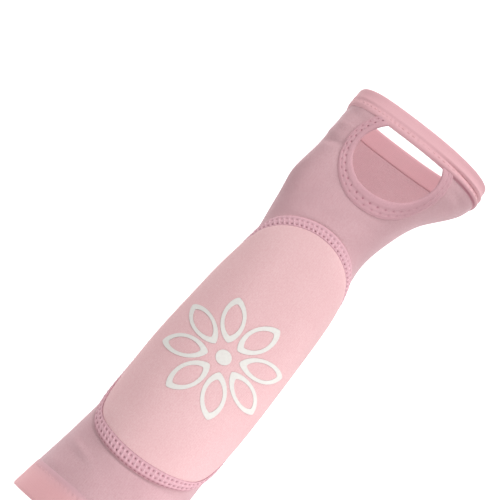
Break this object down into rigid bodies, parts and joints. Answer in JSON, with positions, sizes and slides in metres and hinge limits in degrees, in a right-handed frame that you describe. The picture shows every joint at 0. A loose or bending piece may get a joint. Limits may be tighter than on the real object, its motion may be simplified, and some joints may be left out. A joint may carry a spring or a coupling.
{
  "type": "padded arm sleeve",
  "caption": "Stretch-knit sports sleeve for a right forearm, with a foam pad stitched on its inner face, a hemmed thumb opening and turned hems at the elbow and hand ends.",
  "frame": {"origin": "on the arm's axis at the wrist, where the sleeve sits on the arm", "axes": "+X along the arm from the elbow to the hand, +Z out of the padded face, +Y to the little finger side, thumb at -Y"},
  "size_m": [0.2971, 0.1039, 0.0824],
  "materials": {
    "knit": "fine stretch knit, mauve pink, slight sheen",
    "hem": "doubled stretch knit, deeper pink",
    "pad_cover": "matte knit over foam, peach pink",
    "seam": "raised flat seam with needle holes and cover thread",
    "film": "thin off-white transfer film"
  },
  "bodies": {
    "root": {"sleeve": "knit", "elbow_hem": "hem", "hand_hem": "hem", "thumb_hem": "hem", "pad": "pad_cover", "pad_seam": "seam", "print_boss": "film", "print_petal_1": "film", "print_petal_2": "film", "print_petal_3": "film", "print_petal_4": "film", "print_petal_5": "film", "print_petal_6": "film", "print_petal_7": "film", "print_petal_8": "film"}
  },
  "joints": []
}
